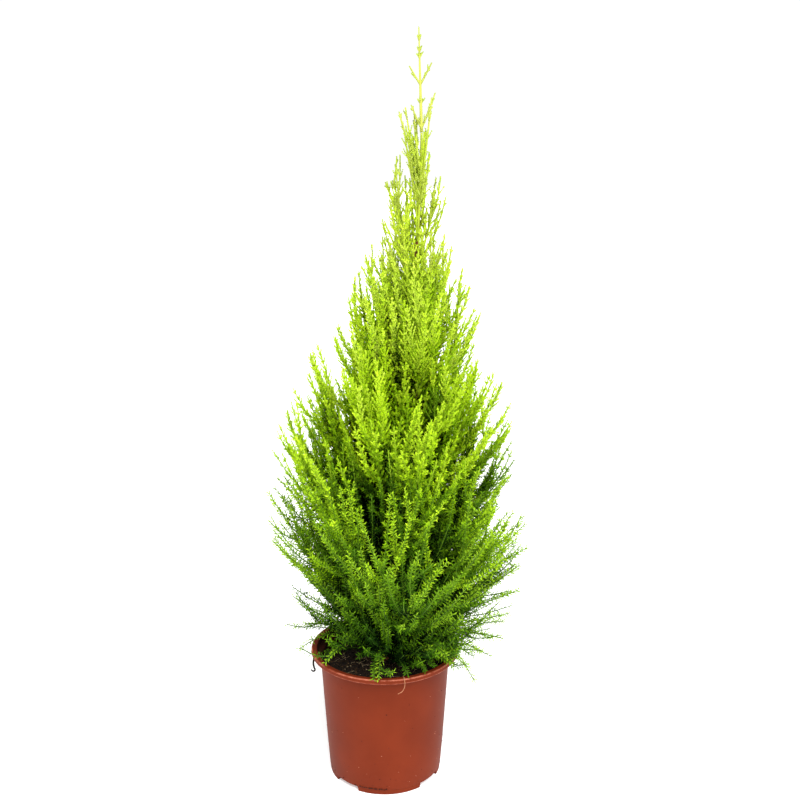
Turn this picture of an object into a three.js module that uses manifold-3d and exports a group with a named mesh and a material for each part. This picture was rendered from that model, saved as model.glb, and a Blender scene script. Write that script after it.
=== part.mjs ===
// Potted lemon cypress: a young golden conifer in a round nursery pot filled with peat.
// Millimetres, +Z up. The origin is the centre of the pot's flat underside, and the front is at -Y.

import * as THREE from 'three';
import { mergeVertices } from 'three/addons/utils/BufferGeometryUtils.js';
import Module from 'manifold-3d';

const wasm = await Module();
wasm.setup();

// Driving dimensions of the pot
const potHeight = 125;
const rimRadius = 70;
const rimWidth = 5.3;
const rimDepth = 4.2;
const shoulderRadius = 61.3;
const footRadius = 53.8;
const wallThickness = 1.2;
const roundSides = 32;

// Driving dimensions of the plant
const totalHeight = 683;
const soilHeight = 112;
const lean = 32.4;
const trunkTipHeight = 598;
const seed = 11;

// Half-width of the crown at a few heights, from the pot's rim to the top of the leader,
// and how far its middle lies to the right of the trunk there
const crownProfile = [
  { height: potHeight, radius: 84, aside: 5 },
  { height: 175, radius: 97, aside: 16 },
  { height: 250, radius: 117, aside: 8 },
  { height: 305, radius: 107, aside: -8 },
  { height: 364, radius: 97, aside: -5 },
  { height: 430, radius: 67, aside: -3 },
  { height: 499, radius: 36, aside: -2 },
  { height: 570, radius: 20, aside: -6 },
  { height: 625, radius: 12, aside: -3 },
  { height: totalHeight, radius: 0, aside: 0 },
];

// Pieces that meet keep the seat's gap, foliage keeps a wider one, and corners nearer than the weld join
const seat = 0.3;
const foliageGap = 0.9;
const weld = 1e-4;
const smallestDetail = 0.015;

const goldenAngle = Math.PI * (3 - Math.sqrt(5));
const up = new THREE.Vector3(0, 0, 1);
const vector = (x, y, z) => new THREE.Vector3(x, y, z);
const mix = THREE.MathUtils.lerp;
const radians = THREE.MathUtils.degToRad;

const materials = {
  pot: new THREE.MeshStandardMaterial({ color: 0xa9573a, roughness: 0.55, metalness: 0 }),
  soil: new THREE.MeshStandardMaterial({ color: 0x33271d, roughness: 0.95, metalness: 0 }),
  bark: new THREE.MeshStandardMaterial({ color: 0x8a5a3c, roughness: 0.9, metalness: 0 }),
  lowLeaf: new THREE.MeshStandardMaterial({ color: 0x5f9e2c, roughness: 0.7, metalness: 0 }),
  midLeaf: new THREE.MeshStandardMaterial({ color: 0x86bd28, roughness: 0.7, metalness: 0 }),
  topLeaf: new THREE.MeshStandardMaterial({ color: 0xb0da38, roughness: 0.7, metalness: 0 }),
};

// A repeatable number from 0 to 1 for each index and purpose
function chance(index, purpose) {
  const wave = Math.sin((index + 1) * 12.9898 + (purpose + seed) * 78.233) * 43758.5453;
  return wave - Math.floor(wave);
}

function spread(index, purpose, low, high) {
  return mix(low, high, chance(index, purpose));
}

// A closed geometry becomes a solid once its shared corners are merged
function solidFrom(geometry) {
  geometry.deleteAttribute('normal');
  geometry.deleteAttribute('uv');
  const merged = mergeVertices(geometry, weld);
  const corners = merged.index.array;
  const triangles = [];
  for (let i = 0; i < corners.length; i += 3) {
    const [a, b, c] = [corners[i], corners[i + 1], corners[i + 2]];
    if (a !== b && b !== c && c !== a) triangles.push(a, b, c);
  }
  return new wasm.Manifold(new wasm.Mesh({
    numProp: 3,
    vertProperties: merged.attributes.position.array,
    triVerts: new Uint32Array(triangles),
  }));
}

// The largest shell of a solid: scraps fall away, and a hollow sealed inside it is filled
function largestBody(solid) {
  const bodies = solid.decompose();
  return bodies.reduce((best, body) => (body.volume() > best.volume() ? body : best));
}

function meshFrom(name, solid, material) {
  const { vertProperties, triVerts } = solid.getMesh();
  const geometry = new THREE.BufferGeometry();
  geometry.setAttribute('position', new THREE.BufferAttribute(new Float32Array(vertProperties), 3));
  geometry.setIndex(new THREE.BufferAttribute(new Uint32Array(triVerts), 1));
  geometry.computeVertexNormals();
  const mesh = new THREE.Mesh(geometry, material);
  mesh.name = name;
  return mesh;
}

// A round solid about the Z axis, from an outline of (radius, height) points
function turned(outline) {
  const points = outline.map(([radius, height]) => new THREE.Vector2(radius, height));
  return new THREE.LatheGeometry(points, roundSides).rotateX(Math.PI / 2);
}

// Pot: hollow foot ring with notches, tapering wall, stepped collar and a flat outward rim
const footHeight = 5;
const floorThickness = 1.5;
const padRadius = 30;
const channelDepth = 4;
const channelInner = 33;
const channelOuter = 45;
const footInner = 47.5;
const mouldStep = 0.6;
const rimRound = 1.7;
const rimDraft = 0.3;
const collarRadius = rimRadius - rimWidth + rimDraft;
const collarHeight = 9;
const collarBottom = potHeight - collarHeight;
const collarSlope = 2;
const notchAzimuths = [-132, -37, 48, 143];
const notchAngle = 30;
const notchHeight = footHeight - 0.5;
const notchDraft = 1.5;
const wallFoot = footHeight + 2;
const drainRadius = 4.5;

function potOutline() {
  const collarInside = collarRadius - wallThickness;
  const channelTop = channelDepth + floorThickness;
  return [
    [0, 0],
    [padRadius, 0],
    [channelInner, channelDepth],
    [channelOuter, channelDepth],
    [footInner, 0],
    [footRadius - mouldStep, 0],
    [footRadius - mouldStep, footHeight],
    [footRadius, footHeight + mouldStep],
    [shoulderRadius, collarBottom],
    [collarRadius, collarBottom + collarSlope],
    [collarRadius + rimDraft, potHeight - rimDepth],
    [rimRadius, potHeight - rimDepth + rimDraft],
    [rimRadius, potHeight - rimRound],
    [rimRadius - rimRound, potHeight],
    [rimRadius - rimWidth, potHeight],
    [collarInside, potHeight - rimDepth],
    [collarInside, collarBottom + collarSlope + wallThickness],
    [shoulderRadius - wallThickness, collarBottom],
    [footRadius - wallThickness, wallFoot],
    [channelOuter + 1, channelTop],
    [channelInner - 1, channelTop],
    [padRadius - 1, floorThickness],
    [0, floorThickness],
  ];
}

function notchCutter(azimuth) {
  const halfWidth = footRadius * Math.sin(radians(notchAngle / 2));
  const shape = new THREE.Shape();
  shape.moveTo(-halfWidth, -1);
  shape.lineTo(halfWidth, -1);
  shape.lineTo(halfWidth - notchDraft, notchHeight);
  shape.lineTo(notchDraft - halfWidth, notchHeight);
  shape.closePath();
  const outside = footRadius + 4;
  const depth = outside - footInner + 2;
  const cutter = new THREE.ExtrudeGeometry(shape, { depth, bevelEnabled: false });
  cutter.rotateX(Math.PI / 2).translate(0, outside, 0);
  return cutter.rotateZ(radians(azimuth - 90));
}

function drainCutter(azimuth) {
  const hole = new THREE.CylinderGeometry(drainRadius, drainRadius, channelDepth * 2, 8);
  hole.rotateX(Math.PI / 2).translate((channelInner + channelOuter) / 2, 0, channelDepth);
  return hole.rotateZ(radians(azimuth));
}

function makePot() {
  let pot = solidFrom(turned(potOutline()));
  for (const azimuth of notchAzimuths) {
    pot = pot.subtract(solidFrom(notchCutter(azimuth)));
    pot = pot.subtract(solidFrom(drainCutter(azimuth + 45)));
  }
  return meshFrom('pot', pot, materials.pot);
}

// Soil: fills the pot to just under the collar, level round the stem and uneven towards the wall
const soilFlatRadius = 13;
const soilFall = 2;
const soilWave = 0.6;

function wallInside(height) {
  const share = (height - wallFoot) / (collarBottom - wallFoot);
  return mix(footRadius, shoulderRadius, share) - wallThickness - seat;
}

function soilOutline() {
  const floor = floorThickness + seat;
  const edgeHeight = soilHeight - soilFall;
  return [
    [0, floor],
    [padRadius - 1 - seat, floor],
    [channelInner - 1 - seat, channelDepth + floor],
    [channelOuter + 1, channelDepth + floor],
    [wallInside(wallFoot), wallFoot + seat],
    [wallInside(edgeHeight), edgeHeight],
    [44, soilHeight - soilFall * 0.5],
    [28, soilHeight - soilFall * 0.25],
    [soilFlatRadius, soilHeight],
    [0, soilHeight],
  ];
}

function makeSoil() {
  const geometry = turned(soilOutline());
  const spots = geometry.attributes.position;
  for (let i = 0; i < spots.count; i += 1) {
    const radius = Math.hypot(spots.getX(i), spots.getY(i));
    const azimuth = Math.atan2(spots.getY(i), spots.getX(i));
    const onTop = spots.getZ(i) > soilHeight - soilFall - seat && radius > soilFlatRadius + 1;
    const wave = Math.sin(azimuth * 3 + radius) + Math.sin(azimuth * 5 - radius * 2);
    if (onTop) spots.setZ(i, spots.getZ(i) + wave * soilWave);
  }
  return meshFrom('soil', solidFrom(geometry), materials.soil);
}

// Trunk: one stem that leans to the right and sways, upright again near its tip, with a flare at the ground
const trunkFoot = soilHeight + seat;
const trunkFootRadius = 5;
const trunkTipRadius = 1;
const flareRadius = 2.4;
const flareHeight = 9;
const leanTurn = 1.95;
const sway = 8;
const trunkSides = 8;
const trunkRings = 12;

function crownCentre(height) {
  const share = Math.max(0, (height - soilHeight) / (totalHeight - soilHeight));
  const aside = sway * Math.sin(share * 9) * share * (1 - share);
  return vector(lean * Math.sin(leanTurn * share ** 1.5) + aside * 0.4, aside, height);
}

function trunkRadius(height) {
  const share = THREE.MathUtils.clamp((height - trunkFoot) / (trunkTipHeight - trunkFoot), 0, 1);
  const flare = flareRadius * Math.exp((trunkFoot - height) / flareHeight);
  return mix(trunkTipRadius, trunkFootRadius, (1 - share) ** 1.1) + flare;
}

function trunkSolid(clearance) {
  const geometry = new THREE.CylinderGeometry(1, 1, 1, trunkSides, trunkRings).rotateX(Math.PI / 2);
  const spots = geometry.attributes.position;
  for (let i = 0; i < spots.count; i += 1) {
    const share = spots.getZ(i) + 0.5;
    const height = mix(trunkFoot, trunkTipHeight, share ** 1.5);
    const radius = trunkRadius(height) + clearance;
    const centre = crownCentre(height);
    spots.setXYZ(i, centre.x + spots.getX(i) * radius, centre.y + spots.getY(i) * radius, height);
  }
  return solidFrom(geometry);
}

// The stretch of a curve between two shares of its length
class Stretch extends THREE.Curve {
  constructor(whole, from, to) {
    super();
    Object.assign(this, { whole, from, to });
  }

  getPoint(share, target = new THREE.Vector3()) {
    return target.copy(this.whole.getPointAt(mix(this.from, this.to, share)));
  }
}

// Two directions square to a curve, the first one level
function squareTo(tangent) {
  const level = new THREE.Vector3().crossVectors(tangent, up);
  if (level.length() < 1e-3) level.set(1, 0, 0);
  level.normalize();
  return [level, new THREE.Vector3().crossVectors(level, tangent)];
}

// A tapering limb: a cylinder whose rings are laid along a curve
function limb(curve, radiusAt, sides, rings) {
  const geometry = new THREE.CylinderGeometry(1, 1, 1, sides, rings);
  const spots = geometry.attributes.position;
  for (let i = 0; i < spots.count; i += 1) {
    const share = THREE.MathUtils.clamp(spots.getY(i) + 0.5, 0, 1);
    const [level, other] = squareTo(curve.getTangentAt(share));
    const place = curve.getPointAt(share);
    place.addScaledVector(level, spots.getX(i) * radiusAt(share));
    place.addScaledVector(other, spots.getZ(i) * radiusAt(share));
    spots.setXYZ(i, place.x, place.y, place.z);
  }
  return solidFrom(geometry);
}

// Plumes: every mass of foliage follows one curve from the trunk to its tip.
// A pair of values runs from the lowest plume to the highest.
const mainPlumes = 35;
const tipHeights = [196, 640];
const tipReach = [0.84, 1];
const steepness = [30, 77];
const shortestRise = [0, 74];
const bendOut = [0.62, 0.56];
const bendUp = [0.24, 0.4];
const fullness = [7.5, 3];
const sprayReach = [76, 34];
const sprayLift = [42, 30];
const lowestRoot = soilHeight + 18;
const rootSpacing = 3.6;
const turnJitter = 0.22;
const boughedPlumes = 12;
const boughShare = 0.28;
const boughRadius = [2.5, 1.7];
const skirtPlumes = [
  { towards: -172, reach: 88, tipHeight: 152 },
  { towards: -138, reach: 82, tipHeight: 134 },
  { towards: -98, reach: 76, tipHeight: 129 },
  { towards: -52, reach: 86, tipHeight: 140 },
  { towards: -12, reach: 102, tipHeight: 142 },
  { towards: 32, reach: 96, tipHeight: 152 },
  { towards: 80, reach: 86, tipHeight: 142 },
  { towards: 134, reach: 86, tipHeight: 146 },
];

function grade([low, high], share) {
  return mix(low, high, share);
}

function crownAt(height, measure) {
  const above = Math.max(1, crownProfile.findIndex((knot) => knot.height >= height));
  const [low, high] = [crownProfile[above - 1], crownProfile[above]];
  return mix(low[measure], high[measure], (height - low.height) / (high.height - low.height));
}

function plumeCurve(rootHeight, towards, reach, tipHeight, outShare, rise) {
  const root = crownCentre(rootHeight);
  const out = vector(Math.cos(towards), Math.sin(towards), 0).multiplyScalar(reach);
  const tip = crownCentre(tipHeight).add(out);
  tip.x += crownAt(tipHeight, 'aside');
  const bend = root.clone().lerp(tip, outShare).setZ(rootHeight + rise);
  return new THREE.QuadraticBezierCurve3(root, bend, tip);
}

function tierOf(share) {
  if (share < 0.4) return ['lower', materials.lowLeaf];
  if (share < 0.74) return ['middle', materials.midLeaf];
  return ['upper', materials.topLeaf];
}

function mainPlume(index) {
  const share = (index + 0.5) / mainPlumes;
  const tipHeight = grade(tipHeights, 1 - (1 - share) ** 0.82);
  const reach = crownAt(tipHeight, 'radius') * spread(index, 1, ...tipReach);
  const slope = Math.tan(radians(grade(steepness, share ** 0.8)));
  const rise = Math.max(reach * slope, grade(shortestRise, share));
  const rootHeight = Math.max(tipHeight - rise, lowestRoot + index * rootSpacing);
  const towards = index * goldenAngle + spread(index, 2, -turnJitter, turnJitter);
  const firstRise = (tipHeight - rootHeight) * grade(bendUp, share);
  const [tier, material] = tierOf(share);
  return {
    name: `${tier}_${index + 1}`,
    curve: plumeCurve(rootHeight, towards, reach, tipHeight, grade(bendOut, share), firstRise),
    material,
    fullness: grade(fullness, share),
    sprayReach: grade(sprayReach, share),
    sprayLift: grade(sprayLift, share),
    boughed: index < boughedPlumes,
  };
}

// Skirt: low plumes that arch over the pot's rim
function skirtPlume({ towards, reach, tipHeight }, index) {
  const rootHeight = soilHeight + 7 + (index % 4) * 3;
  const firstRise = spread(index, 3, 30, 40);
  return {
    name: `skirt_${index + 1}`,
    curve: plumeCurve(rootHeight, radians(towards), reach, tipHeight, 0.52, firstRise),
    material: materials.lowLeaf,
    fullness: 3.5,
    sprayReach: 52,
    sprayLift: 40,
    boughed: false,
  };
}

// Leader: the trunk's own soft tip
function leaderPlume() {
  const foot = crownCentre(trunkTipHeight + seat);
  const tip = crownCentre(totalHeight);
  return {
    name: 'leader',
    curve: new THREE.QuadraticBezierCurve3(foot, foot.clone().lerp(tip, 0.5), tip),
    material: materials.topLeaf,
    fullness: 0.4,
    sprayReach: 32,
    sprayLift: 28,
    boughed: false,
  };
}

const plumes = [
  ...skirtPlumes.map(skirtPlume),
  ...Array.from({ length: mainPlumes }, (_, index) => mainPlume(index)),
  leaderPlume(),
];

// Own space: a point belongs to the plume whose curve is nearest
const samplesPerPlume = 40;
for (const plume of plumes) plume.samples = plume.curve.getSpacedPoints(samplesPerPlume);

function distanceTo(plume, point) {
  let least = Infinity;
  const { samples } = plume;
  const segment = new THREE.Line3();
  const nearest = new THREE.Vector3();
  for (let i = 0; i < samplesPerPlume; i += 1) {
    segment.set(samples[i], samples[i + 1]).closestPointToPoint(point, true, nearest);
    least = Math.min(least, nearest.distanceTo(point));
  }
  return least;
}

// How far a point lies inside its plume's space, clear of the trunk, the pot and the soil too
function room(plume, point) {
  const own = distanceTo(plume, point);
  let least = Infinity;
  for (const other of plumes) {
    if (other !== plume) least = Math.min(least, (distanceTo(other, point) - own) / 2);
  }
  const fromAxis = Math.hypot(point.x, point.y);
  const ground = fromAxis < shoulderRadius - 4 ? soilHeight + 1 : potHeight;
  if (fromAxis < rimRadius + 2) least = Math.min(least, point.z - ground);
  return least;
}

function trunkRoom(point) {
  if (point.z > trunkTipHeight) return Infinity;
  const centre = crownCentre(point.z);
  return Math.hypot(point.x - centre.x, point.y - centre.y) - trunkRadius(point.z);
}

// A spray of needles: a slim three-sided spindle, widest near its root
const sprayWidest = 0.36;
const spraySlimness = 0.115;
const shortestSpray = 9;
const sprayShrink = 0.82;

function sprayGeometry(placement, length) {
  const geometry = new THREE.CylinderGeometry(1, 1, 1, 3, 2);
  const spots = geometry.attributes.position;
  for (let i = 0; i < spots.count; i += 1) {
    const step = Math.round(spots.getY(i) * 2);
    const along = [0, sprayWidest, 1][step + 1] * length;
    const wide = step === 0 ? spraySlimness * length : 0;
    const place = vector(along, spots.getZ(i) * wide, spots.getX(i) * wide).applyMatrix4(placement);
    spots.setXYZ(i, place.x, place.y, place.z);
  }
  return geometry;
}

function fits(plume, geometry, root) {
  const spots = geometry.attributes.position;
  for (let i = 0; i < spots.count; i += 1) {
    const corner = vector().fromBufferAttribute(spots, i);
    for (const share of [0.5, 0.75, 1]) {
      const place = root.clone().lerp(corner, share);
      if (room(plume, place) < foliageGap || trunkRoom(place) < foliageGap) return false;
    }
  }
  return true;
}

// A spray that would leave its plume's space is shortened until it fits, or skipped
function spray(plume, root, along, roll, fullLength) {
  const [level, other] = squareTo(along);
  const placement = new THREE.Matrix4().makeBasis(along, other, level);
  placement.multiply(new THREE.Matrix4().makeRotationX(roll)).setPosition(root);
  for (let length = fullLength; length > shortestSpray; length *= sprayShrink) {
    const geometry = sprayGeometry(placement, length);
    if (fits(plume, geometry, root)) return solidFrom(geometry);
  }
  return null;
}

// A mass: a stem that fills out into a slim core, with sprays set round it in turning pairs
const coreSides = 5;
const coreRings = 6;
const stemRadius = 1.5;
const stemLengthPerPair = 17;
const pairCount = [4, 7];
const firstSpray = 0.05;
const lastSpray = 0.88;
const liftJitter = 8;

function coreRadius(plume, stem, share) {
  const thin = stemRadius * (1 - share) ** 0.6;
  const bulge = Math.sin(Math.PI * Math.max(0, (share - firstSpray) / (1 - firstSpray)) ** 0.75);
  const place = stem.getPointAt(share);
  const limit = Math.min(room(plume, place), trunkRoom(place)) - foliageGap;
  const full = thin + Math.min(plume.fullness, stem.getLength() * 0.06) * bulge;
  return Math.max(thin * 0.8, Math.min(full, limit * 0.82));
}

function leaning(tangent, around, lift) {
  const [level, other] = squareTo(tangent);
  const along = tangent.clone().multiplyScalar(Math.cos(lift));
  along.addScaledVector(level, Math.cos(around) * Math.sin(lift));
  return along.addScaledVector(other, Math.sin(around) * Math.sin(lift));
}

function massSolid(plume, from, plumeIndex) {
  const stem = new Stretch(plume.curve, from, 1);
  const length = stem.getLength();
  const pieces = [limb(stem, (share) => coreRadius(plume, stem, share), coreSides, coreRings)];
  const pairs = Math.round(THREE.MathUtils.clamp(length / stemLengthPerPair, ...pairCount));
  for (let twig = 0; twig < pairs * 2; twig += 1) {
    const pick = plumeIndex * 31 + twig;
    const pair = Math.floor(twig / 2);
    const share = mix(firstSpray, lastSpray, (pair + chance(pick, 4)) / pairs);
    const around = (twig % 2) * Math.PI + pair * goldenAngle + plumeIndex;
    const lift = radians(plume.sprayLift + spread(pick, 5, -liftJitter, liftJitter));
    const along = leaning(stem.getTangentAt(share), around, lift);
    const reach = Math.min(plume.sprayReach, length * 0.62) * (1.1 - share) ** 0.5;
    const piece = spray(plume, stem.getPointAt(share), along, chance(pick, 6), reach);
    if (piece) pieces.push(piece);
  }
  return wasm.Manifold.union(pieces);
}

// The plant: trunk, boughs and masses, each root on the trunk cut clear of it
function makePlant() {
  const meshes = [meshFrom('trunk', trunkSolid(0), materials.bark)];
  const trunkSpace = trunkSolid(seat / Math.cos(Math.PI / trunkSides));
  plumes.forEach((plume, plumeIndex) => {
    const { name, curve, material, boughed } = plume;
    if (boughed) {
      const reach = new Stretch(curve, 0, boughShare);
      const bough = limb(reach, (share) => grade(boughRadius, share), 6, 4).subtract(trunkSpace);
      meshes.push(meshFrom(`bough_${name}`, largestBody(bough), materials.bark));
    }
    const massFrom = boughed ? boughShare + seat / curve.getLength() : 0;
    const mass = massSolid(plume, massFrom, plumeIndex).subtract(trunkSpace);
    const cleaned = largestBody(mass.asOriginal().simplify(smallestDetail));
    meshes.push(meshFrom(`foliage_${name}`, cleaned, material));
  });
  return meshes;
}

const plant = new THREE.Group();
plant.add(...makePlant());

const pottedCypress = new THREE.Group();
pottedCypress.add(makePot(), makeSoil(), plant);

export default pottedCypress;
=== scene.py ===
# Potted lemon cypress: the looks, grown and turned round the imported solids.
# The frame is the shared one: +Z up, the origin under the pot, the front at -Y.
# Sizes are millimetres, as in the part's source, and become metres where a mesh is made.
from collections import namedtuple
import math

import bpy
import numpy as np
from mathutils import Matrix, Vector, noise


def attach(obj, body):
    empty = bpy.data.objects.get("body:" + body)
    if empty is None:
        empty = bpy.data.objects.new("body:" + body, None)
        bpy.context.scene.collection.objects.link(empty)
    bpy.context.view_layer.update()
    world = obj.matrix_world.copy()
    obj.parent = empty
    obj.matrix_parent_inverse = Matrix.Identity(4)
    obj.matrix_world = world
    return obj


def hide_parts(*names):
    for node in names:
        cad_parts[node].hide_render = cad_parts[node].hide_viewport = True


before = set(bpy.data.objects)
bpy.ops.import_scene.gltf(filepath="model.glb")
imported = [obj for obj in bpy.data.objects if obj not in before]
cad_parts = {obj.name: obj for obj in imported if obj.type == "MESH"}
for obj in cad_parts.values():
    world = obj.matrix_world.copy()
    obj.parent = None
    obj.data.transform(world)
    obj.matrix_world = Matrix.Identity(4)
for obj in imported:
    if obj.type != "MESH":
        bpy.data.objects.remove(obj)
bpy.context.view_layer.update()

MM = 0.001
SEED = 11
GOLDEN_ANGLE = math.pi * (3 - math.sqrt(5))
UP = np.array([0.0, 0.0, 1.0])
TRIANGLES_PER_PIECE = 190000
random = np.random.default_rng(SEED)

# The pot's sizes, as in the part's source
POT_HEIGHT = 125
RIM_RADIUS = 70
RIM_WIDTH = 5.3
RIM_DEPTH = 4.2
RIM_DRAFT = 0.3
SHOULDER_RADIUS = 61.3
FOOT_RADIUS = 53.8
WALL = 1.2
FOOT_HEIGHT = 5
FLOOR_THICKNESS = 1.5
PAD_RADIUS = 30
CHANNEL_DEPTH = 4
CHANNEL_INNER = 33
CHANNEL_OUTER = 45
FOOT_INNER = 47.5
MOULD_STEP = 0.6
COLLAR_RADIUS = RIM_RADIUS - RIM_WIDTH + RIM_DRAFT
COLLAR_BOTTOM = POT_HEIGHT - 9
COLLAR_SLOPE = 2
NOTCH_AZIMUTHS = (-132, -37, 48, 143)
NOTCH_ANGLE = 30
NOTCH_HEIGHT = FOOT_HEIGHT - 0.5
NOTCH_DRAFT = 1.5
WALL_FOOT = FOOT_HEIGHT + 2
DRAIN_RADIUS = 4.5

# The plant's sizes, as in the part's source
TOTAL_HEIGHT = 683
SOIL_HEIGHT = 112
SOIL_FALL = 2
SOIL_FLAT_RADIUS = 13
LEAN = 32.4
LEAN_TURN = 1.95
LEAN_POWER = 1.5
SWAY = 8
SWAY_TURN = 9
SWAY_ACROSS = 0.4
SEAT = 0.3
TRUNK_FOOT = SOIL_HEIGHT + SEAT
TRUNK_TIP_HEIGHT = 598
TRUNK_FOOT_RADIUS = 5
TRUNK_TIP_RADIUS = 1
TRUNK_TAPER = 1.1
FLARE_RADIUS = 2.4
FLARE_HEIGHT = 9
CROWN_HEIGHTS = (POT_HEIGHT, 175, 250, 305, 364, 430, 499, 570, 625, TOTAL_HEIGHT)
CROWN_RADII = (84, 97, 117, 107, 97, 67, 36, 20, 12, 0)
CROWN_ASIDES = (5, 16, 8, -8, -5, -3, -2, -6, -3, 0)

# The plumes' rule, as in the part's source
MAIN_PLUMES = 35
TIER_SHARES = (0.4, 0.74)
TIP_POWER = 0.82
TIP_REACH = (0.84, 1)
STEEPNESS_POWER = 0.8
LOWEST_ROOT = SOIL_HEIGHT + 18
ROOT_SPACING = 3.6
TURN_JITTER = 0.22
BOUGHED_PLUMES = 12
BOUGH_SHARE = 0.28
BOUGH_RADIUS = (2.5, 1.7)
# From the lowest main plume to the highest
TIP_HEIGHTS = (196, 640)
STEEPNESS = (30, 77)
SHORTEST_RISE = (0, 74)
BEND_OUT = (0.62, 0.56)
BEND_UP = (0.24, 0.4)
SPRAY_REACH = (76, 34)
SPRAY_LIFT = (42, 30)
# Low plumes and the leader, as in the part's source
SKIRTS = (  # direction in degrees, reach and tip height
    (-172, 88, 152), (-138, 82, 134), (-98, 76, 129), (-52, 86, 140),
    (-12, 102, 142), (32, 96, 152), (80, 86, 142), (134, 86, 146),
)
SKIRT_ROOTS = (7, 10, 13, 16)  # above the soil, in turn
SKIRT_BEND = 0.52
SKIRT_RISE = (30, 40)
SKIRT_SPRAYS = (36, 40)  # reach, and lift in degrees
LEADER_SPRAYS = (32, 28)
SOURCE_PLUMES = len(SKIRTS) + MAIN_PLUMES + 1

# Finer plumes: one between each two of the source's, to the end of the middle tier, and low ones all round
FINE_PLUMES = 25
FINE_REACH = (0.62, 0.98)
LOW_PLUMES = 52
LOW_REACH = (36, 98)
LOW_TIP_HEIGHTS = (150, 226)
LOW_JITTER = 12
LOW_BEND = 0.5
LOW_RISE = 0.3
LOW_SPRAYS = (42, 36)
FRONT_PLUMES = (  # over the soil in front: direction in degrees, reach and tip height
    (-80, 36, 142), (-66, 52, 138), (-56, 36, 132), (-48, 60, 146), (-38, 48, 136),
    (-30, 62, 140), (-20, 44, 132), (-14, 64, 138), (-2, 66, 142), (-62, 64, 150),
)
AXIS_TONE = 0.7


def mix(low, high, share):
    return low + (high - low) * share


def grade(pair, share):
    return mix(pair[0], pair[1], share)


def smooth(low, high, value):
    """A change from 0 to 1 over a span of values, slow at both ends."""
    share = np.clip((value - low) / (high - low), 0, 1)
    return share * share * (3 - 2 * share)


def chance(index, purpose):
    """The source's repeatable number from 0 to 1 for each index and purpose."""
    wave = math.sin((index + 1) * 12.9898 + (purpose + SEED) * 78.233) * 43758.5453
    return wave - math.floor(wave)


def spread(index, purpose, low, high):
    return mix(low, high, chance(index, purpose))


def size(vectors):
    return np.linalg.norm(vectors, axis=-1)


def unit(vectors):
    return vectors / np.maximum(size(vectors), 1e-9)[..., None]


def around_axis(out, turn, height):
    """Places about the Z axis, from arrays or single values for all but the turn."""
    return np.stack([out * np.cos(turn), out * np.sin(turn), height + 0 * turn], axis=-1)


def crown_centre(height):
    """Where the trunk's middle runs, for a height or an array of heights."""
    height = np.asarray(height, float)
    share = np.maximum(0, (height - SOIL_HEIGHT) / (TOTAL_HEIGHT - SOIL_HEIGHT))
    aside = SWAY * np.sin(share * SWAY_TURN) * share * (1 - share)
    lean = LEAN * np.sin(LEAN_TURN * share ** LEAN_POWER)
    return np.stack([lean + aside * SWAY_ACROSS, aside, height], axis=-1)


def trunk_radius(height):
    share = np.clip((height - TRUNK_FOOT) / (TRUNK_TIP_HEIGHT - TRUNK_FOOT), 0, 1)
    flare = FLARE_RADIUS * np.exp((TRUNK_FOOT - height) / FLARE_HEIGHT)
    return mix(TRUNK_TIP_RADIUS, TRUNK_FOOT_RADIUS, (1 - share) ** TRUNK_TAPER) + flare


def crown_radius(height):
    return np.interp(height, CROWN_HEIGHTS, CROWN_RADII)


def crown_axis(height):
    """The middle of the crown: the trunk's line, with the crown's own run to the side."""
    axis = crown_centre(height)
    axis[..., 0] += np.interp(axis[..., 2], CROWN_HEIGHTS, CROWN_ASIDES)
    return axis


# Meshes: corners in millimetres, with faces that are all triangles or all quads, in one array
def in_scene(name, data):
    thing = bpy.data.objects.new(name, data)
    bpy.context.scene.collection.objects.link(thing)
    return thing


def mesh_piece(name, materials, vertices, faces, deal=None, smooth_shaded=True):
    """An object of the scene, with the number of a material dealt to each face."""
    faces = np.asarray(faces, np.int32)
    count, sides = faces.shape
    mesh = bpy.data.meshes.new(name)
    mesh.vertices.add(len(vertices))
    mesh.vertices.foreach_set("co", (np.asarray(vertices, float) * MM).astype(np.float32).ravel())
    mesh.loops.add(count * sides)
    mesh.loops.foreach_set("vertex_index", faces.ravel())
    mesh.polygons.add(count)
    mesh.polygons.foreach_set("loop_start", np.arange(0, count * sides, sides, dtype=np.int32))
    mesh.polygons.foreach_set("use_smooth", np.full(count, smooth_shaded))
    for material in materials:
        mesh.materials.append(material)
    if deal is not None:
        mesh.polygons.foreach_set("material_index", np.asarray(deal, np.int32))
    mesh.update(calc_edges=True)
    return in_scene(name, mesh)


def dress(piece, slot, *nodes):
    """A finished piece rides on the plant's one body and stands for its nodes."""
    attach(piece, "root")
    if nodes:
        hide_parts(*nodes)


def joined(parts):
    """Meshes as one: corners, faces, and whatever more each part brings."""
    offsets = np.cumsum([0] + [len(part[0]) for part in parts[:-1]])
    corners = np.concatenate([part[0] for part in parts])
    faces = np.concatenate([part[1] + offset for part, offset in zip(parts, offsets)])
    return (corners, faces, *(np.concatenate(more) for more in list(zip(*parts))[2:]))


def copies(faces, count, corners):
    """The triangles of one form repeated for many, each with so many corners."""
    return (faces[None] + (np.arange(count) * corners)[:, None, None]).reshape(-1, 3)


def turns(sides):
    return np.arange(sides) * 2 * math.pi / sides


def ring_walls(rings, sides):
    """The quads between rings of corners, one ring after another."""
    ring = np.arange(rings - 1)[:, None] * sides
    side = np.arange(sides)[None, :]
    a, b = ring + side, ring + (side + 1) % sides
    return np.stack([a, b, b + sides, a + sides], -1)


def halved(walls):
    """Two triangles for each quad, ring by ring."""
    return np.concatenate([walls[..., :3], walls[..., [0, 2, 3]]], axis=1).reshape(-1, 3)


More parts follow.
